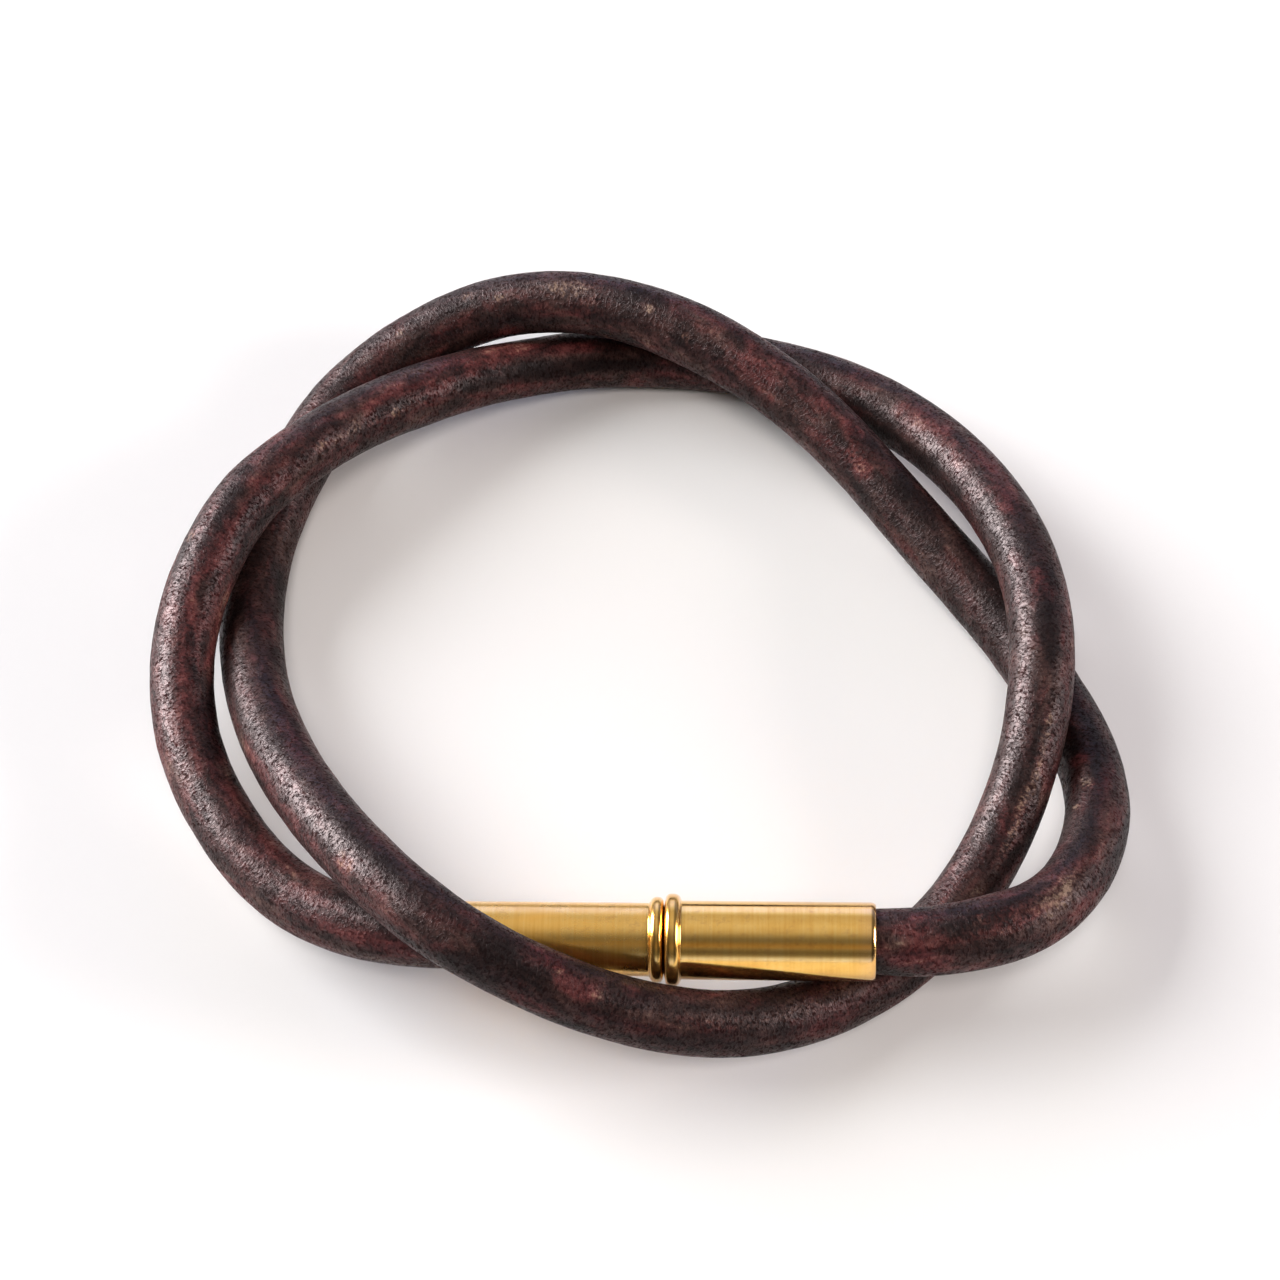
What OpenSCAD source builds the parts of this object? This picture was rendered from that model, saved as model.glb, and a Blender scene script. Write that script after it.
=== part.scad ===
// Leather wrap bracelet. One round leather cord goes twice round the wrist, its two turns twisted
// loosely on each other, and its ends sit in two brass caps that meet head to head, each with a
// disc magnet behind its head. Millimetres, Z up. It lies on the plane Z = 0, and the origin is
// the middle of the ring on that plane. X runs along the ring's longer side.

/* [Leather cord] */
// Diameter of the cord
cord_d = 5; // [4:0.1:5.1]
// Diameter of the cord's ends, pared to fit inside the caps
cord_end_d = 4.4; // [4:0.05:4.45]
// Straight stretch of the cord in front of each cap
straight_out = 4; // [3.5:0.5:4.5]

/* [Brass caps] */
// Length of a cap, from the face of its head to its mouth
cap_len = 15.7; // [14.5:0.1:16.5]
// Diameter of the right cap's tube
right_tube_d = 5.8; // [5.4:0.1:5.9]
// Diameter of the right cap's rim
right_rim_d = 6.8; // [6.5:0.1:7]
// Diameter of the left cap's tube
left_tube_d = 5.4; // [5.4:0.1:5.6]
// Diameter of the left cap's rim
left_rim_d = 6.3; // [6.1:0.1:6.6]
// Thickness of the rounded rims
rim_t = 1.2; // [1:0.1:1.4]
// Wall of the tubes
tube_wall = 0.2; // [0.15:0.01:0.22]
// Thickness of the closed heads
head_t = 0.5; // [0.3:0.1:0.7]

/* [Magnetic catch] */
// Diameter of the disc magnets
magnet_d = 4.8; // [4:0.1:4.8]
// Thickness of the disc magnets
magnet_t = 2; // [1.5:0.1:2.5]
// Gap between the two closed heads
catch_gap = 0.15; // [0.1:0.05:0.2]
// Clearance round a magnet, and between it and the end of the cord
seat_gap = 0.1; // [0.05:0.05:0.15]

/* [How the clasp lies] */
// Middle of the clasp, between the heads
clasp_mid = [2.1, -26.5, 8];
// Turn of the clasp about Z, in degrees
clasp_turn = -1.5; // [-2:0.5:-1]
// Lift of the clasp's right end, in degrees
clasp_lift = 1.5; // [1:0.5:2]

/* [Hidden] */

// Colours
leather = [0.16, 0.10, 0.10];
brass = [0.80, 0.65, 0.35];
nickel = [0.72, 0.72, 0.70];

// Guide points of the cord, chosen by hand, from in front of the right cap to in front of the left
// one. Each row is [x, y, height of the cord's middle above the surface].
guide = [
    [31.5, -24.5, 7.4], [36, -14, 4.8], [34, -3.5, 2.5], [28.5, 5.5, 2.5], [22, 13.5, 3.8],
    [15.5, 21.5, 6.2], [7.5, 28, 7.6], [-2, 32.5, 8.2], [-12.5, 33.5, 6.9], [-22, 28.5, 3.6],
    [-27.5, 20.5, 2.5], [-30.5, 10, 2.4], [-30, -1, 4.4], [-27, -11, 8], [-21.5, -20.5, 11.4],
    [-14, -29, 13.4], [-4.5, -33, 10.6], [5.5, -33.5, 6.4], [15.5, -29, 2.3], [24, -22, 2.6],
    [29, -13.5, 5.4], [31.5, -3.5, 8.2], [31, 7, 8], [27, 17, 5.8], [20.5, 25, 3.9],
    [11, 30, 2.6], [0.5, 31.5, 2.4], [-9.5, 29, 3.4], [-18.5, 24.5, 6.1], [-27, 17.5, 8.1],
    [-33, 9.5, 7.6], [-35.5, -0.5, 6], [-33.5, -11.5, 4.4], [-26.5, -21.5, 4.4]
];

// Sides of the cord's cross-section, and rings of it on each span between two points
sides = 12;
rings_per_span = 2;
// Spans at either end of the cord whose rings lie inside a cap
spans_in_cap = 1.5;
// Sides of the caps and magnets, and of the rims' rounding
round_sides = 64;
rim_sides = 24;
// Spare depth by which a cutting shape runs past the mouth
cut_past = 1;

// Places along the clasp's axis, as distances from its middle
mouth_at = catch_gap / 2 + cap_len;
magnet_at = catch_gap / 2 + head_t + seat_gap / 2;
seat_at = magnet_at + magnet_t + seat_gap;
exit_at = mouth_at + straight_out;
inside_at = (seat_at + exit_at) / 2;

clasp_axis = [
    cos(clasp_lift) * cos(clasp_turn), cos(clasp_lift) * sin(clasp_turn), sin(clasp_lift)
];
function on_clasp(along) = clasp_mid + along * clasp_axis;

// The cord's route is a uniform cubic B-spline. Three points on the clasp's axis at either end
// keep the cord straight inside the caps, and one point more past each end makes it start there.
right_end = [for (along = [seat_at, inside_at, exit_at]) on_clasp(along)];
left_end = [for (along = [-exit_at, -inside_at, -seat_at]) on_clasp(along)];
route = concat(right_end, guide, left_end);
spans = len(route) - 1;
posts = concat(
    [2 * route[0] - route[1]], route, [2 * route[spans] - route[spans - 1]]
);

// Weights of the four nearest points at the fraction f of a span, for place and for direction
function place_weights(f) = [
    pow(1 - f, 3),
    3 * pow(f, 3) - 6 * pow(f, 2) + 4,
    -3 * pow(f, 3) + 3 * pow(f, 2) + 3 * f + 1,
    pow(f, 3)
] / 6;
function heading_weights(f) = [
    -pow(1 - f, 2),
    3 * pow(f, 2) - 4 * f,
    -3 * pow(f, 2) + 2 * f + 1,
    pow(f, 2)
] / 2;
function blend(weights, first) =
    weights[0] * posts[first] + weights[1] * posts[first + 1]
    + weights[2] * posts[first + 2] + weights[3] * posts[first + 3];
function unit(v) = v / norm(v);

// One ring of the cord at u spans from its start, with one corner straight below its middle
function ring(u) =
    let (
        first = min(floor(u), spans - 1),
        f = u - first,
        middle = blend(place_weights(f), first),
        heading = unit(blend(heading_weights(f), first)),
        side = unit(cross(heading, [0, 0, 1])),
        up = cross(side, heading),
        r = (min(u, spans - u) <= spans_in_cap ? cord_end_d : cord_d) / 2
    )
    [
        for (k = [0 : sides - 1])
            middle + r * (cos(k * 360 / sides) * side + sin(k * 360 / sides) * up)
    ];

rings = spans * rings_per_span + 1;
function corner(i, k) = i * sides + k % sides;

module leather_cord() {
    corners = [for (i = [0 : rings - 1]) each ring(i / rings_per_span)];
    skin = [
        for (i = [0 : rings - 2], k = [0 : sides - 1])
            each [
                [corner(i, k), corner(i + 1, k + 1), corner(i + 1, k)],
                [corner(i, k), corner(i, k + 1), corner(i + 1, k + 1)]
            ]
    ];
    first_end = [for (k = [sides - 1 : -1 : 0]) corner(0, k)];
    last_end = [for (k = [0 : sides - 1]) corner(rings - 1, k)];
    color(leather) polyhedron(corners, concat(skin, [first_end, last_end]));
}

// A cap stands with its closed head at Z = 0 and its mouth up
module cap(tube_d, rim_d) {
    rotate_extrude($fn = round_sides)
        difference() {
            union() {
                square([tube_d / 2, cap_len]);
                square([(rim_d - rim_t) / 2, rim_t]);
                translate([(rim_d - rim_t) / 2, rim_t / 2]) circle(d = rim_t, $fn = rim_sides);
            }
            translate([0, head_t]) square([tube_d / 2 - tube_wall, cap_len - head_t + cut_past]);
        }
}

module magnet() {
    cylinder(d = magnet_d, h = magnet_t, $fn = round_sides);
}

// Lays a piece that stands on its head along the clasp's axis, this far from its middle
module lay_right(along) {
    translate(clasp_mid)
        rotate([0, 90 - clasp_lift, clasp_turn])
            translate([0, 0, along])
                children();
}
module lay_left(along) {
    translate(clasp_mid)
        rotate([0, -90 - clasp_lift, clasp_turn])
            translate([0, 0, along])
                children();
}

module brass_cap_right() {
    color(brass) lay_right(catch_gap / 2) cap(right_tube_d, right_rim_d);
}

module brass_cap_left() {
    color(brass) lay_left(catch_gap / 2) cap(left_tube_d, left_rim_d);
}

module magnet_right() {
    color(nickel) lay_right(magnet_at) magnet();
}

module magnet_left() {
    color(nickel) lay_left(magnet_at) magnet();
}

leather_cord();
brass_cap_right();
brass_cap_left();
magnet_right();
magnet_left();
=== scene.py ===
"""A leather wrap bracelet: one round leather cord that goes twice round the wrist, its turns twisted
loosely on each other, with its ends in two brass caps that meet head to head. Metres, Z up, in the
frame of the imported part."""

import math

import bpy
import numpy as np
from mathutils import Matrix, Vector, noise


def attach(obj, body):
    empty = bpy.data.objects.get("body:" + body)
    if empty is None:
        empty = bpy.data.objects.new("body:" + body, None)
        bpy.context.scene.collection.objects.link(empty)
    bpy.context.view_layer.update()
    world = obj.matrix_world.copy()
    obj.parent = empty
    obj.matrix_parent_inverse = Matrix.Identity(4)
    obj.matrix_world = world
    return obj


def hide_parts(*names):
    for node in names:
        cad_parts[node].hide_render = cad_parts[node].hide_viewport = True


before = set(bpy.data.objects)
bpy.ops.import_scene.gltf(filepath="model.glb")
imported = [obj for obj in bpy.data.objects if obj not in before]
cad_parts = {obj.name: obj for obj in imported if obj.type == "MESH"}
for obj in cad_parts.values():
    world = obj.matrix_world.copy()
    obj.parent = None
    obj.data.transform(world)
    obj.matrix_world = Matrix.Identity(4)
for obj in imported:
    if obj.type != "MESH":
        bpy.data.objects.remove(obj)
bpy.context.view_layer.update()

MM = 0.001

# Camera, at the photograph's angle, for a square image
CAMERA_TARGET = Vector((0.0003, 0.00235, 0.004))
CAMERA_RISE = math.radians(57)
CAMERA_DISTANCE = 0.33
CAMERA_LENS = 119.1
CAMERA_AT = CAMERA_TARGET + CAMERA_DISTANCE * Vector(
    (0, -math.cos(CAMERA_RISE), math.sin(CAMERA_RISE))
)

# Clasp, as in the part's source
CLASP_MIDDLE = np.array([0.0021, -0.0265, 0.008])
CLASP_TURN = math.radians(-1.5)
CLASP_LIFT = math.radians(1.5)
CATCH_GAP = 0.15 * MM
CAP_LENGTH = 15.7 * MM
RIM_T = 1.2 * MM
WALL = 0.2 * MM
HEAD_T = 0.5 * MM
RIGHT_TUBE_R = 2.9 * MM
RIGHT_RIM_R = 3.4 * MM
LEFT_TUBE_R = 2.7 * MM
LEFT_RIM_R = 3.15 * MM
MAGNET_T = 2 * MM
SEAT_GAP = 0.1 * MM
STRAIGHT_OUT = 4 * MM

# What the photograph shows of the caps: the right one's length and how thick their rims are
RIGHT_LENGTH = 15.4 * MM
RIGHT_RIM_T = 1.12 * MM
LEFT_RIM_T = 1.0 * MM
# Sides of each cap's turned form
CAP_SIDES = 128

# Places along the clasp's axis, as distances from its middle
MOUTH_AT = CATCH_GAP / 2 + CAP_LENGTH
MAGNET_AT = CATCH_GAP / 2 + HEAD_T + SEAT_GAP / 2
SEAT_AT = MAGNET_AT + MAGNET_T + SEAT_GAP
EXIT_AT = MOUTH_AT + STRAIGHT_OUT
CLASP_AXIS = np.array(
    [
        math.cos(CLASP_LIFT) * math.cos(CLASP_TURN),
        math.cos(CLASP_LIFT) * math.sin(CLASP_TURN),
        math.sin(CLASP_LIFT),
    ]
)

CORD_D = 5 * MM
# Rings and sides of the cord's mesh, and points worked out on each span of its route
CORD_RINGS = 1500
CORD_SIDES = 56
ROUTE_SAMPLES = 200

# Guide points of the cord's route, as in the part's source
GUIDE = [
    (0.0315, -0.0245, 0.0074), (0.036, -0.014, 0.0048), (0.034, -0.0035, 0.0025),
    (0.0285, 0.0055, 0.0025), (0.022, 0.0135, 0.0038), (0.0155, 0.0215, 0.0062),
    (0.0075, 0.028, 0.0076), (-0.002, 0.0325, 0.0082), (-0.0125, 0.0335, 0.0069),
    (-0.022, 0.0285, 0.0036), (-0.0275, 0.0205, 0.0025), (-0.0305, 0.01, 0.0024),
    (-0.03, -0.001, 0.0044), (-0.027, -0.011, 0.008), (-0.0215, -0.0205, 0.0114),
    (-0.014, -0.029, 0.0134), (-0.0045, -0.033, 0.0106), (0.0055, -0.0335, 0.0064),
    (0.0155, -0.029, 0.0023), (0.024, -0.022, 0.0026), (0.029, -0.0135, 0.0054),
    (0.0315, -0.0035, 0.0082), (0.031, 0.007, 0.008), (0.027, 0.017, 0.0058), (0.0205, 0.025, 0.0039),
    (0.011, 0.03, 0.0026), (0.0005, 0.0315, 0.0024), (-0.0095, 0.029, 0.0034),
    (-0.0185, 0.0245, 0.0061), (-0.027, 0.0175, 0.0081), (-0.033, 0.0095, 0.0076),
    (-0.0355, -0.0005, 0.006), (-0.0335, -0.0115, 0.0044), (-0.0265, -0.0215, 0.0044),
]

# Thickness of the cord: (millimetres along it from its seat in the right cap, diameter)
THICKNESS = [
    (0, 4.4), (8, 4.45), (12.5, 4.85), (14, 5.05), (18, 5.2), (22, 5.35), (25, 5.1), (28, 4.85),
    (33, 4.9), (40, 4.95), (50, 5), (68, 4.95), (75.5, 4.8), (84, 5), (93, 5.25), (98, 5.05),
    (104, 5), (112, 4.9), (125, 5), (150, 5), (165, 5.1), (177, 5.1), (184, 5), (191, 4.85),
    (198, 4.9), (206, 5), (225, 4.9), (235, 4.78), (243, 4.8), (249, 5.1), (254, 5.05), (266, 5),
    (295, 5), (305, 4.85), (312.5, 4.65), (318, 4.9), (322.5, 5.1), (326, 4.9), (345, 5), (357, 4.92),
    (370, 5), (384, 5.05), (389, 4.85), (391.5, 4.65), (396, 4.4), (404, 4.4),
]
# How far along the cord its thickness is smoothed, to either side
THICKNESS_BLEND = 3 * MM

# Small bends of the cord beside its route, seen in the photograph: (millimetres along it, towards
# +X, towards +Y, upwards)
BENDS = [
    (0, 0, 0, 0), (13, 0, 0, 0), (16.5, 0, -0.12, -0.1), (22, 0, 0, 0), (38, 0, 0, 0),
    (45, -0.22, 0, 0), (50, -0.35, 0, 0), (56, -0.1, 0, 0), (62, 0, 0, 0), (116, 0, 0, 0),
    (125, -0.12, 0.3, 0), (131, 0, 0, 0), (184, 0, 0, 0), (187, 0, 0.14, -0.21),
    (190, 0, 0.38, -0.59), (193, 0, 0.6, -0.92), (196, 0, 0.73, -1.13), (199, 0, 0.76, -1.17),
    (202, 0, 0.71, -1.09), (205, 0, 0.49, -0.75), (209, 0, 0.2, -0.33), (213, 0, 0, 0),
    (300, 0, 0, 0), (308, 0, 0.2, 0), (316, 0, 0.2, 0), (323, 0, 0, 0), (333, 0, 0, 0),
    (339, -0.3, 0.15, 0), (346, -0.15, 0, 0), (353, -0.25, 0, 0), (361, -0.25, 0, 0), (368, 0, 0, 0),
    (404, 0, 0, 0),
]

# Lumps of the leather: (lumps for each millimetre along the cord, and across it, shift of their
# noise, height in millimetres)
LUMPS = [
    (0.11, 0.22, (0, 0, 0), 0.05), (0.45, 0.6, (7, 0, 0), 0.03), (1.3, 1.5, (0, 0, 3), 0.014),
]
# The lumps start this far from the cord's ends, just inside the caps
BARE_FROM = MOUTH_AT - SEAT_AT - 0.5 * MM

# Two stretches of the cord this far apart along it meet where their middles are this close
TURNS_APART = 15 * MM
TURNS_MEET = 1.15 * CORD_D
# There each gives way by this share of the overlap and the gap between them, which is worked out
# from the nearest ring and so many rings to either side of it
TURNS_GAP = 0.02 * MM
TURNS_SHARE = 0.55
RINGS_COMPARED = 12
# This far from its ends, and from there on, the cord keeps clear of the caps from outside
CAP_PRESSED_FROM = MOUTH_AT - SEAT_AT + 1 * MM
CAP_CLEARANCE = 0.03 * MM
FLOOR_CLEARANCE = 0.01 * MM

# Marks on the leather: (millimetres along the cord, degrees round it from the side
# that faces the camera, half length and half width in millimetres, strength)
RED_CLOUDS = [
    (15, -27, 1.4, 0.6, 0.8), (16, 47, 3, 0.9, 0.8), (16.5, -46, 1.5, 0.6, 0.8),
    (22, 60, 3.5, 0.9, 0.7), (25.7, -36, 3, 0.6, 0.7), (29, 52, 3, 0.8, 0.4),
    (41.3, -17, 0.6, 1.2, 0.9), (75, -4, 1.5, 0.9, 0.9), (77.4, 35, 1.5, 0.9, 0.7),
    (79.8, 33, 1.2, 0.8, 0.6), (86.5, 16, 2.5, 1.1, 0.8), (165, 48, 3, 0.6, 0.9),
    (172, 47, 3, 0.6, 0.7), (177.5, 22, 0.9, 0.8, 1.1), (193, -40, 2, 0.8, 0.9),
    (193.5, 52, 2.2, 0.7, 0.9), (196, -17, 1.8, 0.9, 0.9), (237, -4, 1.5, 0.6, 0.5),
    (247, 9, 2, 0.6, 0.5), (256.5, 19, 1.3, 0.8, 1.2), (259.5, -17, 0.8, 0.6, 0.7),
    (264.7, 15, 1.2, 0.7, 1.2), (267, 13, 1.2, 0.7, 0.8), (274, 21, 1.5, 0.8, 0.8),
    (277.5, 16, 2, 0.9, 1.1), (309, 24, 2, 0.6, 0.8), (314, 47, 2.2, 0.7, 1.3),
    (317.5, 19, 3, 0.8, 0.7), (321.5, 12, 3, 0.7, 0.6), (327, 34, 4, 0.8, 0.7),
    (337, 70, 4, 1.0, 0.7), (342, 50, 4, 1.0, 0.8), (346, 5, 4, 1.2, 0.7), (353, 15, 9, 1.1, 0.9),
    (356, 0, 20, 5, 0.35), (357, 20, 14, 1.8, 0.6), (363, 5, 4, 0.8, 0.6), (373.8, -22, 2, 0.8, 0.5),
    (377.5, -15, 2.5, 1.0, 0.7), (380.5, -8, 3, 1.2, 0.8), (384, 10, 2.5, 1.0, 0.9),
    (387, 31, 2, 0.8, 0.6),
]
# Near-black clouds of the leather, and painted shade where another turn crosses over it or lies close
# beside it
DARK_CLOUDS_AND_PAINTED_SHADE = [
    (18.4, -12, 1.2, 0.8, 0.7), (20.2, -20, 2, 0.8, 0.9), (23.7, -40, 2.8, 0.35, 1.1),
    (33, -18, 2.4, 0.9, 0.9), (35.6, -2, 2, 0.8, 0.7), (44, -21, 2.5, 0.9, 0.8),
    (63.8, 18, 2.5, 1.0, 0.6), (65, 0, 12, 5, 0.2), (66.7, 1, 2, 1.0, 0.4), (69.5, 31, 3, 1.2, 0.8),
    (72.4, -35, 1.5, 0.7, 0.5), (81.6, -16, 1.5, 1.0, 0.7), (89, 35, 1.2, 0.7, 0.5),
    (93, -2, 1, 0.9, 0.9), (96, 35, 1, 0.6, 0.6), (97.4, 42, 1.2, 0.7, 0.8), (144, -60, 6, 1.0, 0.8),
    (146, 0, 8, 5, 0.3), (147, 27, 4, 0.9, 0.7), (154.3, 49, 3, 0.7, 0.9), (157.6, 48, 2, 0.5, 0.6),
    (176, -20, 3, 0.6, 0.7), (180, -16, 2, 0.7, 0.7), (183, -8, 2.5, 1.0, 0.8), (186, 1, 2, 1.0, 0.7),
    (190, -14, 2.2, 1.1, 1.0), (190, 58, 3, 0.7, 0.6), (193, 1, 2.5, 0.8, 0.9), (205, 0, 20, 5, 0.3),
    (238.8, -2, 2, 0.6, 0.5), (240.4, 2, 3, 0.7, 0.6), (251, 14, 1.3, 0.7, 0.7),
    (253, 8, 1.6, 1.1, 0.9), (262, 47, 2, 0.8, 0.8), (273.5, -42, 4, 0.8, 0.9),
    (280.5, -32, 3.5, 1.0, 0.9), (305, -11, 3, 0.9, 0.9), (309, -14, 2, 0.8, 0.8),
    (312.8, -11, 3, 0.8, 1.0), (317.2, -7, 2, 0.7, 0.8), (328, 39, 2, 0.6, 0.8),
    (331.3, 49, 2, 0.5, 0.5), (338.6, 41, 0.8, 0.6, 0.8), (340.3, 24, 0.9, 0.8, 0.9),
    (382, -8, 7, 1.0, 0.5),
]
# Pale worn spots round the nicks, and painted highlights: pale streaks and sheen along the cord where
# light shines on it
PALE_WEAR_AND_PAINTED_HIGHLIGHTS = [
    (20, -22, 0.4, 0.35, 1.1), (24, -8, 6, 1.0, 0.35), (27.2, -6, 0.5, 0.3, 1.2),
    (36.1, -46, 0.35, 0.35, 1.3), (38.6, -17, 0.65, 0.6, 0.8), (75, -4, 1.3, 0.5, 0.5),
    (92.7, -10, 0.4, 0.35, 0.9), (96.4, 18, 0.45, 0.4, 0.9), (101.3, 9, 0.8, 0.5, 0.5),
    (102.9, 24, 2.0, 0.7, 0.6), (108.8, 20, 0.45, 0.4, 0.7), (111.2, 41, 0.5, 0.45, 0.9),
    (117.3, 36, 0.4, 0.4, 0.8), (176.9, 16, 0.3, 0.28, 0.8), (177.2, 32, 0.3, 0.28, 0.7),
    (178.0, 14, 0.3, 0.28, 0.8), (178.3, 27, 0.28, 0.3, 0.7), (194.3, -26, 0.35, 0.35, 0.8),
    (197.5, -10, 0.5, 0.4, 0.7), (207, -2, 9, 0.5, 0.3), (236.5, 19, 2.2, 0.4, 0.8),
    (239, 14, 1.6, 0.4, 0.8), (241.4, 22, 2.2, 0.35, 0.7), (244.3, 23, 2, 0.4, 0.55),
    (325.7, -15, 0.5, 0.4, 0.9), (328, -14, 5, 0.3, 0.35), (329.7, -11, 0.7, 0.3, 0.8),
    (332.9, -6, 0.6, 0.35, 0.9), (345, 60, 0.5, 0.5, 0.8),
]
POLISH = [
    (105, 22, 9, 0.9, 0.8), (158, 30, 5, 0.8, 0.6), (171, 7, 7, 1.1, 0.9), (176, 9, 4, 1.0, 0.8),
    (212, 0, 12, 1.2, 0.3), (243, -31, 7, 0.8, 0.8), (249.5, -36, 8, 0.9, 0.8),
    (257, -42, 4, 0.9, 0.8), (263, -32, 6, 0.9, 0.9), (272, -7, 4, 1.0, 0.9), (348, 45, 5, 1.0, 0.5),
    (358, 31, 7, 0.9, 0.8), (366, 20, 5, 0.9, 0.9),
]
# A mark has faded out at this many times its half size
MARK_REACH = 1.5
# Nicks: (millimetres along the cord, degrees round it, radius, depth)
NICKS = [
    (177.6, 22, 0.5, 0.1), (38.6, -17, 0.5, 0.07), (36.1, -46, 0.3, 0.06),
]
# Weight of the slightly raised edge round a nick
NICK_EDGE = 0.5

# Colours of the leather, brown and red, from its darkest tone to its palest: (tone, colour)
BROWN_TONES = [
    (0.39, (0.004, 0.002, 0.0018)), (0.45, (0.0105, 0.0045, 0.0038)),
    (0.50, (0.0222, 0.0092, 0.0076)), (0.55, (0.041, 0.0182, 0.015)),
    (0.61, (0.078, 0.038, 0.030)), (0.72, (0.26, 0.17, 0.12)),
]
RED_TONES = [
    (0.39, (0.007, 0.002, 0.002)), (0.45, (0.0205, 0.0048, 0.0047)),
    (0.50, (0.0445, 0.009, 0.0088)), (0.55, (0.087, 0.0185, 0.0178)),
    (0.61, (0.142, 0.038, 0.034)), (0.72, (0.36, 0.18, 0.13)),
]
# Near-black painted shade for the pits and creases
PIT_PAINTED_SHADE = (0.005, 0.002, 0.002)

# Colours of the brass, and its roughness where it is smoothest and where it is roughest
BRASS_TONES = [(0.36, (0.86, 0.465, 0.085)), (0.5, (0.94, 0.55, 0.118)), (0.64, (0.97, 0.61, 0.165))]
BRASS_MOUTH = (0.88, 0.50, 0.24)
BRASS_TARNISH = (0.55, 0.27, 0.09)
BRASS_ENDS_ROUGH = 0.22
RIGHT_BRASS_ROUGH = (0.11, 0.19)
LEFT_BRASS_ROUGH = (0.24, 0.36)

NICKEL_TONES = [(0.3, (0.58, 0.57, 0.54)), (0.7, (0.70, 0.69, 0.66))]

FLOOR_HALF = 6.0
FLOOR_COLOUR = (0.9, 0.895, 0.893)

# Studio sky: (angle in the upright plane through the camera, in degrees; radiance or its colour)
STUDIO_LIGHT = [
    (0, (0.93, 1.1, 1.85)), (6, (0.88, 1.04, 1.7)), (12, (0.51, 0.58, 0.78)), (17, 0.22), (23, 0.14),
    (30, 0.15), (36, 0.23), (42, (0.34, 0.28, 0.2)), (48, (0.31, 0.24, 0.15)), (54, (0.23, 0.2, 0.15)),
    (60, 0.18), (66, 0.2), (74, 0.31), (84, 0.53), (90, 0.62), (105, 0.73), (133, 0.6), (141, 0.6),
    (148, (0.78, 0.87, 1.1)), (157, (1.05, 1.2, 2.3)), (172, (1.1, 1.27, 2.45)), (180, 1.0),
]
# Tint of the whole sky
STUDIO_TINT = np.array([1.035, 1.0, 1.0])
# Width of the lit strip as a share of the sky, and the share of its light on either side of it
STUDIO_WIDTH = 0.22
STUDIO_SIDES = 0.2

# Distance of the area lamps, and their colours
LAMP_DISTANCE = 2.5
NEUTRAL = (0.99, 1, 1)
WARM = (1.09, 1, 0.95)
ROSY = (1, 0.88, 0.88)
# Area lamps: (name, azimuth from +Y towards +X, rise, half width and half height as seen from the
# bracelet, all in degrees, radiance, colour, whether it lights the pieces or shines on them)
LAMPS = [
    ("window", -71, 30, 20, 22, 7.0, NEUTRAL, "lights"),
    ("right_fill", 96, 21, 9, 9, 17, WARM, "lights"),
    ("front_top", 180, 64, 8, 8, 11.6, WARM, "lights"),
    ("window_sheen", -66, 25, 17, 16, 44, ROSY, "shines"),
    ("right_sheen", 93, 26, 15, 14, 13, ROSY, "shines"),
]


def make_camera():
    camera = bpy.data.objects.new("camera", bpy.data.cameras.new("camera"))
    bpy.context.scene.collection.objects.link(camera)
    camera.data.sensor_width = 36
    camera.data.lens = CAMERA_LENS
    camera.data.clip_start = 0.01
    camera.data.clip_end = 20
    camera.location = CAMERA_AT
    camera.rotation_euler = (math.pi / 2 - CAMERA_RISE, 0, 0)
    bpy.context.scene.camera = camera


def on_clasp(along):
    return CLASP_MIDDLE + along * CLASP_AXIS


def unit(v):
    return v / np.linalg.norm(v, axis=-1, keepdims=True)


def make_mesh(name, points, faces, smooth=True):
    mesh = bpy.data.meshes.new(name)
    mesh.from_pydata(points, [], faces)
    if smooth:
        mesh.polygons.foreach_set("use_smooth", [True] * len(mesh.polygons))
    mesh.update()
    obj = bpy.data.objects.new(name, mesh)
    bpy.context.scene.collection.objects.link(obj)
    return obj


def tube_faces(rings, sides):
    i, k = np.meshgrid(np.arange(rings - 1), np.arange(sides), indexing="ij")
    k2 = (k + 1) % sides
    quads = np.stack([i * sides + k, i * sides + k2, (i + 1) * sides + k2, (i + 1) * sides + k], -1)
    return quads.reshape(-1, 4).tolist()


def wear(obj, material):
    obj.data.materials.clear()
    obj.data.materials.append(material)


def spline(posts, samples):
    """Points along the uniform cubic B-spline of these posts, so many for each span."""
    f = np.arange(samples) / samples
    weights = np.stack(
        [(1 - f) ** 3, 3 * f**3 - 6 * f**2 + 4, -3 * f**3 + 3 * f**2 + 3 * f + 1, f**3], 1
    ) / 6
    spans = [weights @ posts[i : i + 4] for i in range(len(posts) - 3)]
    last = (posts[-3] + 4 * posts[-2] + posts[-1]) / 6
    return np.vstack([*spans, last])


def cord_route():
    """The cord's middle at evenly spaced rings, and the distance of each along the cord."""
    inside_at = (SEAT_AT + EXIT_AT) / 2
    right_end = [on_clasp(a) for a in (SEAT_AT, inside_at, EXIT_AT)]
    left_end = [on_clasp(-a) for a in (EXIT_AT, inside_at, SEAT_AT)]
    route = np.array([*right_end, *GUIDE, *left_end], float)
    posts = np.vstack([2 * route[0] - route[1], route, 2 * route[-1] - route[-2]])
    fine = spline(posts, ROUTE_SAMPLES)
    along = np.concatenate([[0], np.cumsum(np.linalg.norm(np.diff(fine, axis=0), axis=1))])
    at = np.linspace(0, along[-1], CORD_RINGS)
    return np.stack([np.interp(at, along, fine[:, k]) for k in range(3)], 1), at


def bent(line, at):
    """The cord's middle with its small bends."""
    table = np.array(BENDS, float) * MM
    return line + np.stack([np.interp(at, table[:, 0], table[:, k]) for k in (1, 2, 3)], 1)


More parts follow.
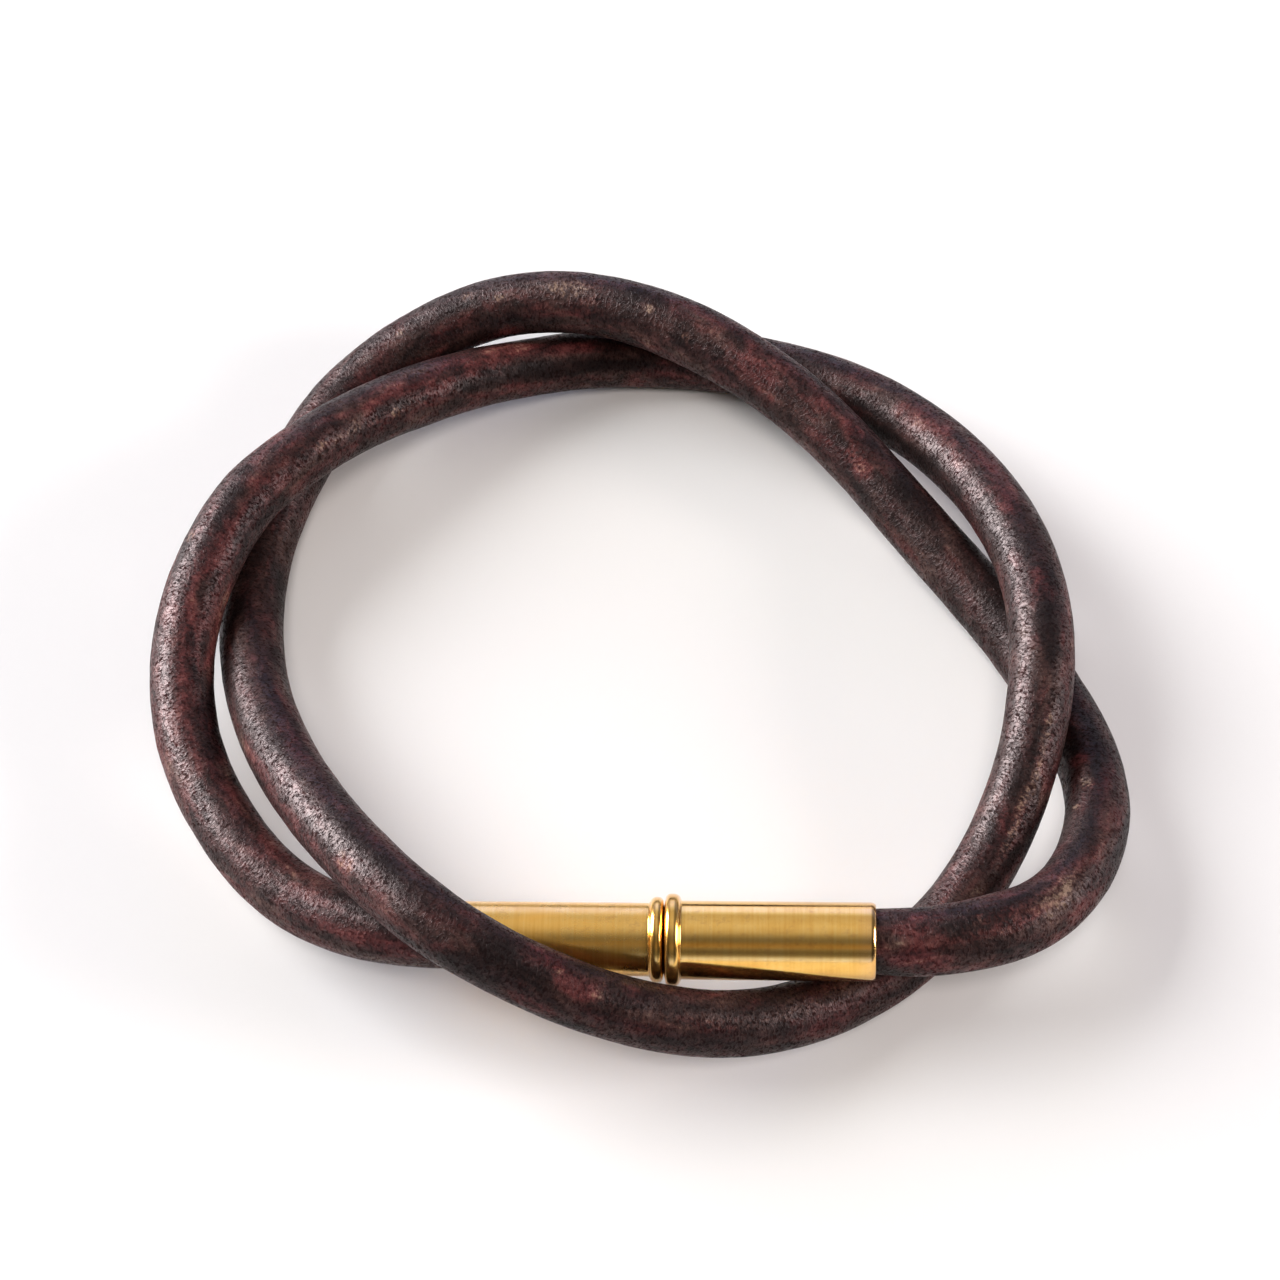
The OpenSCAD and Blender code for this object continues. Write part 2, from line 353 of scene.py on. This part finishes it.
def carried_frames(line):
    """Two directions across each ring, carried along the cord without twist."""
    heading = unit(np.gradient(line, axis=0))
    side = np.zeros_like(line)
    side[0] = unit(np.cross(heading[0], [0, 0, 1]))
    for i in range(1, len(line)):
        side[i] = unit(side[i - 1] - (side[i - 1] @ heading[i]) * heading[i])
    return side, np.cross(side, heading)


def thickness_at(at):
    """Radius at each ring: the measured table, smoothed."""
    table = np.array(THICKNESS, float) * MM
    r = np.interp(at, table[:, 0], table[:, 1]) / 2
    step = at[1] - at[0]
    window = np.hanning(2 * round(THICKNESS_BLEND / step) + 3)
    pad = len(window) // 2
    return np.convolve(np.pad(r, pad, mode="edge"), window / window.sum(), mode="valid")


def leather_relief(place):
    """Height of the leather's own lumps at each straightened place, in metres."""
    height = np.zeros(len(place))
    for i, (x, y, z) in enumerate(place):
        for along, across, shift, high in LUMPS:
            at = (x * along + shift[0], y * across + shift[1], z * across + shift[2])
            height[i] += high * noise.noise(at)
    return height * MM


def shown_angles(line, heading, across):
    """Angle of each point round the cord, from the side that faces the camera."""
    view = unit(np.array(CAMERA_AT) - line)
    face = unit(view - (view * heading).sum(1, keepdims=True) * heading)
    side = np.cross(heading, face)
    return np.arctan2((across * side[:, None]).sum(2), (across * face[:, None]).sum(2))


def marked(marks, at, angle):
    """Strength of a list of oval marks at each point, fading out from the middle of each."""
    strength = np.zeros_like(angle)
    for along, degrees, half_length, half_width, mark in marks:
        ds = (at[:, None] / MM - along) / half_length
        turn = (angle - math.radians(degrees) + math.pi) % (2 * math.pi) - math.pi
        dw = turn * CORD_D / 2 / MM / half_width
        fade = (MARK_REACH - np.sqrt(ds**2 + dw**2)).clip(0, 1)
        strength = np.maximum(strength, mark * fade * fade * (3 - 2 * fade))
    return strength


def nicked(at, angle):
    """Depth of the nicks at each point, with a slightly raised edge, in metres."""
    depth = np.zeros_like(angle)
    for along, degrees, radius, deep in NICKS:
        ds = (at[:, None] / MM - along) / radius
        dw = (angle - math.radians(degrees)) * CORD_D / 2 / MM / radius
        d2 = ds**2 + dw**2
        depth += deep * (1 - NICK_EDGE * d2) * np.exp(-d2)
    return depth * MM


def pressed_by_turns(points, line, at, r):
    """Rings pressed flat where the cord meets its other turn."""
    far = np.linalg.norm(line[:, None] - line[None], axis=2)
    same_turn = np.abs(at[:, None] - at[None]) <= TURNS_APART
    far[same_turn] = np.inf
    nearest = far.argmin(1)
    meets = far[np.arange(len(line)), nearest] < TURNS_MEET
    pick = np.arange(points.shape[1])
    moved = points.copy()
    for i in np.nonzero(meets)[0]:
        window = slice(max(0, nearest[i] - RINGS_COMPARED), nearest[i] + RINGS_COMPARED + 1)
        offset = points[i][:, None] - line[window][None]
        length = np.linalg.norm(offset, axis=2)
        j = length.argmin(1)
        depth = r[window][j] + TURNS_GAP - length[pick, j]
        push = np.where(depth > 0, TURNS_SHARE * depth, 0)
        moved[i] += push[:, None] * offset[pick, j] / length[pick, j][:, None]
    return moved


def pressed_by_clasp(points, at):
    """Rings outside the caps pressed flat where they meet a cap's tube or rim."""
    rel = points - CLASP_MIDDLE
    along = rel @ CLASP_AXIS
    out = rel - along[..., None] * CLASP_AXIS
    length = np.linalg.norm(out, axis=2)
    outside = (at > CAP_PRESSED_FROM) & (at < at[-1] - CAP_PRESSED_FROM)
    moved = points.copy()
    for low, high, radius in (
        (-MOUTH_AT, 0, LEFT_TUBE_R), (0, MOUTH_AT, RIGHT_TUBE_R),
        (-RIM_T - CATCH_GAP, 0, LEFT_RIM_R), (0, RIM_T + CATCH_GAP, RIGHT_RIM_R),
    ):
        within = (along > low) & (along < high) & outside[:, None]
        depth = np.where(within, radius + CAP_CLEARANCE - length, 0).clip(0)
        moved += (depth / length)[..., None] * out
    return moved


def cord_points(route, at):
    """Points of the cord ring by ring, and each one's straightened place and shown angle."""
    line = bent(route, at)
    side, up = carried_frames(line)
    turn = np.arange(CORD_SIDES) * 2 * math.pi / CORD_SIDES
    across = np.cos(turn)[None, :, None] * side[:, None] + np.sin(turn)[None, :, None] * up[:, None]
    place = np.stack(
        [
            np.repeat(at[:, None], CORD_SIDES, 1) / MM,
            np.tile(CORD_D / 2 / MM * np.cos(turn), (CORD_RINGS, 1)),
            np.tile(CORD_D / 2 / MM * np.sin(turn), (CORD_RINGS, 1)),
        ],
        -1,
    )
    angle = shown_angles(line, np.cross(up, side), across)
    bare = np.minimum(at, at[-1] - at) > BARE_FROM
    relief = leather_relief(place.reshape(-1, 3)).reshape(CORD_RINGS, CORD_SIDES)
    relief = (relief - nicked(at, angle)) * bare[:, None]
    r = thickness_at(at)
    points = line[:, None] + (r[:, None] + relief)[..., None] * across
    points = pressed_by_turns(points, line, at, r)
    points = pressed_by_clasp(points, at)
    points[..., 2] = points[..., 2].clip(FLOOR_CLEARANCE)
    return points, place, angle


def make_cord():
    route, at = cord_route()
    points, place, angle = cord_points(route, at)
    last = (CORD_RINGS - 1) * CORD_SIDES
    faces = tube_faces(CORD_RINGS, CORD_SIDES)
    faces += [list(range(CORD_SIDES))[::-1], [last + k for k in range(CORD_SIDES)]]
    cord = make_mesh("leather_cord_round", points.reshape(-1, 3).tolist(), faces)
    # Red clouds, dark clouds with painted shade, and pale wear with painted highlights
    stains_and_painted_light = np.stack([marked(marks, at, angle) for marks in (RED_CLOUDS, DARK_CLOUDS_AND_PAINTED_SHADE, PALE_WEAR_AND_PAINTED_HIGHLIGHTS)], -1)
    polish = marked(POLISH, at, angle)
    for name, kind, field, values in (
        ("leather_place", "FLOAT_VECTOR", "vector", place),
        ("leather_stains_and_painted_light", "FLOAT_VECTOR", "vector", stains_and_painted_light),
        ("leather_polish", "FLOAT", "value", polish),
    ):
        attribute = cord.data.attributes.new(name, kind, "POINT")
        attribute.data.foreach_set(field, values.astype(np.float32).ravel())
    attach(cord, "root")
    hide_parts("leather_cord")
    return cord


def arc(r, z, radius, start, end, steps):
    """Points of an arc round (r, z), from one angle in degrees to the other."""
    angles = np.radians(np.linspace(start, end, steps))
    return [(r + radius * math.cos(a), z + radius * math.sin(a)) for a in angles]


def cap_profile(tube_r, rim_r, rim_t, length):
    """Outline of a cap as (distance from the axis, distance from the head's face), from the middle
    of the slightly raised face round the rim, along the tube, over the lip and down the bore."""
    crown = 0.065 * MM
    head_round = 0.4 * MM
    back_round = 0.5 * MM
    foot_round = 0.1 * MM
    lip_round = 0.55 * MM
    lip_turn = 45
    bore = tube_r - WALL
    bore_round = 0.03 * MM
    lip_at = length - lip_round * math.sin(math.radians(lip_turn))
    # Rings along the face, the tube and the bore, close together next to a rounded edge
    face_rings = (0, 0.6 * MM, 1.6 * MM, rim_r - 0.7 * MM)
    tube_rings = (rim_t + 0.6 * MM, *np.linspace(rim_t + 1.5 * MM, length - 1.0 * MM, 12))
    bore_rings = np.linspace(length - 0.6 * MM, HEAD_T, 6)
    return [
        *[(r, -crown) for r in face_rings],
        *arc(rim_r - head_round, head_round, head_round, -90, 0, 8),
        *arc(rim_r - back_round, rim_t - back_round, back_round, 0, 90, 9),
        *arc(tube_r + foot_round, rim_t + foot_round, foot_round, -90, -180, 5),
        *[(tube_r, z) for z in tube_rings],
        *arc(tube_r - lip_round, lip_at, lip_round, 0, lip_turn, 7),
        *arc(bore + bore_round, length - bore_round, bore_round, 90, 180, 4),
        *[(bore, z) for z in bore_rings],
        (0, HEAD_T),
    ]


def make_cap(name, node, profile, direction):
    """A turned cap on the clasp's axis. The direction is 1 for the right one, -1 for the left."""
    turn = np.arange(CAP_SIDES) * 2 * math.pi / CAP_SIDES
    points = [(r * math.cos(a), r * math.sin(a), z) for r, z in profile[1:-1] for a in turn]
    faces = tube_faces(len(profile) - 2, CAP_SIDES)
    top = len(points)
    bottom = top + 1
    last = (len(profile) - 3) * CAP_SIDES
    points += [(0, 0, profile[0][1]), (0, 0, profile[-1][1])]
    faces += [(top, (k + 1) % CAP_SIDES, k) for k in range(CAP_SIDES)]
    faces += [(bottom, last + k, last + (k + 1) % CAP_SIDES) for k in range(CAP_SIDES)]
    cap = make_mesh(name, points, faces)
    axis = Vector(direction * CLASP_AXIS)
    place = Matrix.Translation(Vector(CLASP_MIDDLE + direction * CATCH_GAP / 2 * CLASP_AXIS))
    cap.matrix_world = place @ axis.to_track_quat("Z", "Y").to_matrix().to_4x4()
    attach(cap, "root")
    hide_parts(node)
    return cap


class Nodes:
    """Short helpers for a node tree."""

    def __init__(self, tree):
        self.tree = tree
        tree.nodes.clear()

    def new(self, kind, **settings):
        node = self.tree.nodes.new("ShaderNode" + kind)
        for key, value in settings.items():
            setattr(node, key, value)
        return node

    def link(self, source, target):
        self.tree.links.new(source, target)

    def put(self, socket, value):
        if isinstance(value, bpy.types.NodeSocket):
            self.link(value, socket)
        elif value is not None:
            socket.default_value = value

    def split(self, vector):
        node = self.new("SeparateXYZ")
        self.link(vector, node.inputs[0])
        return node.outputs

    def math(self, operation, a, b=None):
        node = self.new("Math", operation=operation)
        for socket, value in zip(node.inputs, (a, b)):
            self.put(socket, value)
        return node.outputs[0]

    def times(self, a, b):
        return self.math("MULTIPLY", a, b)

    def weighted(self, *terms, offset=0.0):
        """Sum of (socket, weight) terms and an offset."""
        total = offset
        for socket, weight in terms:
            total = self.math("ADD", self.times(socket, weight), total)
        return total

    def scaled(self, vector, factors):
        node = self.new("VectorMath", operation="MULTIPLY")
        self.put(node.inputs[0], vector)
        node.inputs[1].default_value = factors
        return node.outputs[0]

    def object_place(self):
        """Place on the object, in millimetres."""
        return self.scaled(self.new("TexCoord").outputs["Object"], (1 / MM, 1 / MM, 1 / MM))

    def noise(self, vector, factors, detail=3, roughness=0.55, distortion=0):
        """Noise with so many clouds for each millimetre along each axis."""
        node = self.new("TexNoise")
        self.put(node.inputs["Vector"], self.scaled(vector, factors))
        node.inputs["Scale"].default_value = 1
        node.inputs["Detail"].default_value = detail
        node.inputs["Roughness"].default_value = roughness
        node.inputs["Distortion"].default_value = distortion
        return node.outputs["Fac"]

    def ramp(self, value, stops, interpolation="LINEAR"):
        node = self.new("ValToRGB")
        node.color_ramp.interpolation = interpolation
        while len(node.color_ramp.elements) < len(stops):
            node.color_ramp.elements.new(0)
        for element, (place, colour) in zip(node.color_ramp.elements, stops):
            element.position = place
            if not hasattr(colour, "__len__"):
                colour = (colour, colour, colour)
            element.color = (*colour, 1)
        self.put(node.inputs[0], value)
        return node.outputs[0]

    def mix(self, fac, a, b):
        node = self.new("MixRGB", blend_type="MIX")
        for socket, value in zip(node.inputs, (fac, a, b)):
            if isinstance(value, tuple):
                value = (*value, 1)
            self.put(socket, value)
        return node.outputs[0]

    def bump(self, height, strength, distance):
        node = self.new("Bump")
        node.inputs["Strength"].default_value = strength
        node.inputs["Distance"].default_value = distance
        self.link(height, node.inputs["Height"])
        return node.outputs[0]

    def surface(self, inputs):
        """A Principled shader with these inputs as the tree's surface."""
        shader = self.new("BsdfPrincipled")
        for name, value in inputs.items():
            self.put(shader.inputs[name], value)
        self.link(shader.outputs[0], self.new("OutputMaterial").inputs[0])


def new_material(name):
    material = bpy.data.materials.new(name)
    material.use_nodes = True
    return material, Nodes(material.node_tree)


def leather_material():
    """Antiqued leather: dark brown with reddish clouds, near-black clouds that are partly painted
    shade, pale wear with painted highlights, fine broken creases darkened with painted shade, and a
    shine that only the ridges between the creases keep."""
    material, n = new_material("leather_antiqued")
    place = n.new("Attribute", attribute_name="leather_place").outputs["Vector"]
    polish = n.new("Attribute", attribute_name="leather_polish").outputs["Fac"]
    stains_and_painted_light = n.new("Attribute", attribute_name="leather_stains_and_painted_light").outputs["Vector"]
    redder, darker_and_shaded, paler_and_highlit = n.split(stains_and_painted_light)
    clouds = n.noise(place, (0.13, 0.42, 0.42), 3, 0.55, 0.8)
    mottle = n.noise(place, (0.75, 1.1, 1.1), 4, 0.6, 0.5)
    fine = n.noise(place, (3.8, 2.8, 2.8), 3, 0.6, 0.3)
    creases = n.noise(place, (2.5, 1.5, 1.5), 3, 0.5, 0.6)
    grain = n.noise(place, (4.8, 3.4, 3.4), 2, 0.5, 0.4)
    hue_clouds = n.noise(place, (0.22, 0.55, 0.55), 3, 0.6, 0.6)

    # Tone and hue, with the marks broken up by the mottle and the fine noise; the dark marks carry
    # painted shade and the pale marks painted highlights
    ragged = n.weighted((mottle, 2.4), offset=-0.2)
    speckled = n.weighted((fine, 4), offset=-1.2)
    reddened = n.times(redder, ragged)
    darkened_and_shaded = n.times(darker_and_shaded, ragged)
    paled_and_highlit = n.times(paler_and_highlit, speckled)
    tone = n.weighted(
        (clouds, 0.45), (mottle, 0.28), (fine, 0.22),
        (reddened, 0.045), (darkened_and_shaded, -0.055), (paled_and_highlit, 0.2), offset=0.025,
    )
    hue = n.weighted((hue_clouds, 1), (reddened, 0.23), (darker_and_shaded, -0.12), (paler_and_highlit, -0.12))
    redness = n.ramp(hue, [(0.42, 0.0), (0.68, 1.0)])
    colour = n.mix(redness, n.ramp(tone, BROWN_TONES), n.ramp(tone, RED_TONES))

    # Creases and pits, and the skin that is left between them; the colour in the pits and creases is
    # darkened as painted shade
    furrow = n.math("ABSOLUTE", n.weighted((creases, 1), offset=-0.5))
    ridge = n.ramp(furrow, [(0.0, 0.0), (0.06, 1.0)], "EASE")
    pit = n.ramp(grain, [(0.35, 0.0), (0.48, 1.0)], "EASE")
    skin = n.times(n.weighted((ridge, 0.6), offset=0.4), pit)
    colour = n.mix(n.weighted((skin, -0.5), offset=0.5), colour, PIT_PAINTED_SHADE)
    height = n.weighted((ridge, 0.25), (grain, 0.9), (fine, 0.3))
    bump = n.bump(height, 1, 0.055 * MM)

    # Shine of the worn skin
    worn = n.weighted((polish, 0.3), (mottle, 1.2), (darker_and_shaded, -0.25))
    shine = n.times(skin, n.ramp(worn, [(0.35, 0.3), (0.9, 1.0)]))
    n.surface({
        "Base Color": colour,
        "Roughness": n.ramp(skin, [(0.1, 0.85), (0.9, 0.6)]),
        "Normal": bump,
        "Specular IOR Level": 0.1,
        "Specular Tint": (1.0, 0.82, 0.82, 1),
        "Coat Weight": shine,
        "Coat Roughness": 0.4,
        "Coat IOR": 1.35,
        "Coat Normal": bump,
    })
    return material


def brass_material(name, smoothest, roughest):
    """Drawn brass with faint turning marks, cloudy tarnish, and duller rims and mouth."""
    material, n = new_material(name)
    place = n.object_place()
    turned = n.noise(place, (0.2, 0.2, 5.0), 3, 0.6)
    cloud = n.noise(place, (0.5, 0.5, 0.25), 4, 0.6, 0.4)
    spots = n.noise(place, (1.6, 1.6, 1.1), 3, 0.7)
    share = n.math("DIVIDE", n.split(place)[2], CAP_LENGTH / MM)
    colour = n.ramp(n.weighted((cloud, 0.55), (turned, 0.45)), BRASS_TONES)
    colour = n.mix(n.ramp(share, [(0.88, 0.0), (1.0, 0.45)]), colour, BRASS_MOUTH)
    colour = n.mix(n.ramp(spots, [(0.56, 0.0), (0.74, 0.35)]), colour, BRASS_TARNISH)
    rough = n.ramp(cloud, [(0.35, roughest), (0.65, smoothest)])
    ends = n.ramp(share, [(0.074, 1.0), (0.08, 0.0), (0.965, 0.0), (0.98, 1.0)])
    rough = n.mix(ends, rough, (BRASS_ENDS_ROUGH,) * 3)
    n.surface({
        "Base Color": colour,
        "Metallic": 1,
        "Roughness": rough,
        "Normal": n.bump(turned, 0.5, 0.003 * MM),
        "Coat Weight": 0.6,
        "Coat Roughness": 0.12,
    })
    return material


def nickel_material():
    """Plated nickel with a faint cloudy stain."""
    material, n = new_material("magnet_nickel")
    cloud = n.noise(n.object_place(), (1.5, 1.5, 1.5), 3, 0.6)
    n.surface({
        "Base Color": n.ramp(cloud, NICKEL_TONES),
        "Metallic": 1,
        "Roughness": n.ramp(cloud, [(0.3, 0.4), (0.7, 0.25)]),
    })
    return material


def make_floor():
    half = FLOOR_HALF
    floor = make_mesh(
        "floor", [(-half, -half, 0), (half, -half, 0), (half, half, 0), (-half, half, 0)],
        [(0, 1, 2, 3)], smooth=False,
    )
    material, n = new_material("floor_pale")
    n.surface({"Base Color": (*FLOOR_COLOUR, 1), "Roughness": 0.7, "Specular IOR Level": 0.2})
    wear(floor, material)


def make_world():
    """A studio whose light depends on the direction's angle in the upright plane through the camera:
    0 is the front horizon, 90 straight up and 180 the back horizon. It is dimmer to both sides."""
    world = bpy.data.worlds.new("studio")
    bpy.context.scene.world = world
    world.use_nodes = True
    n = Nodes(world.node_tree)
    x, y, z = n.split(n.new("TexCoord").outputs["Generated"])
    angle = n.math("ARCTAN2", z, n.times(y, -1))
    light = n.ramp(
        n.math("DIVIDE", angle, math.pi),
        [(degrees / 180, STUDIO_TINT * radiance) for degrees, radiance in STUDIO_LIGHT],
    )
    beside = n.math("EXPONENT", n.times(n.times(x, x), -1 / STUDIO_WIDTH**2))
    background = n.new("Background")
    n.link(light, background.inputs["Color"])
    n.link(n.weighted((beside, 1 - STUDIO_SIDES), offset=STUDIO_SIDES), background.inputs["Strength"])
    n.link(background.outputs[0], n.new("OutputWorld").inputs[0])


def make_lamp(name, azimuth, rise, half_width, half_height, radiance, colour, use):
    """An area lamp that faces the bracelet. It either lights the pieces or shows in their shine."""
    lamp = bpy.data.objects.new(name, bpy.data.lights.new(name, "AREA"))
    bpy.context.scene.collection.objects.link(lamp)
    a = math.radians(azimuth)
    e = math.radians(rise)
    back = Vector((math.sin(a) * math.cos(e), math.cos(a) * math.cos(e), math.sin(e)))
    lamp.location = LAMP_DISTANCE * back
    lamp.rotation_mode = "QUATERNION"
    lamp.rotation_quaternion = back.to_track_quat("Z", "Y")
    lamp.data.shape = "RECTANGLE"
    lamp.data.size = 2 * LAMP_DISTANCE * math.tan(math.radians(half_width))
    lamp.data.size_y = 2 * LAMP_DISTANCE * math.tan(math.radians(half_height))
    lamp.data.color = colour
    lamp.data.energy = math.pi * lamp.data.size * lamp.data.size_y * radiance
    lamp.visible_camera = False
    lamp.visible_diffuse = use == "lights"
    lamp.visible_glossy = use == "shines"


make_camera()
cord = make_cord()
right_profile = cap_profile(RIGHT_TUBE_R, RIGHT_RIM_R, RIGHT_RIM_T, RIGHT_LENGTH)
left_profile = cap_profile(LEFT_TUBE_R, LEFT_RIM_R, LEFT_RIM_T, CAP_LENGTH)
cap_right = make_cap("cap_right_drawn", "brass_cap_right", right_profile, 1)
cap_left = make_cap("cap_left_drawn", "brass_cap_left", left_profile, -1)

wear(cord, leather_material())
wear(cap_right, brass_material("brass_drawn", *RIGHT_BRASS_ROUGH))
wear(cap_left, brass_material("brass_drawn_dull", *LEFT_BRASS_ROUGH))
nickel = nickel_material()
for node in ("magnet_right", "magnet_left"):
    wear(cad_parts[node], nickel)

make_floor()
make_world()
for lamp in LAMPS:
    make_lamp(*lamp)

bpy.context.scene.view_settings.view_transform = "Standard"
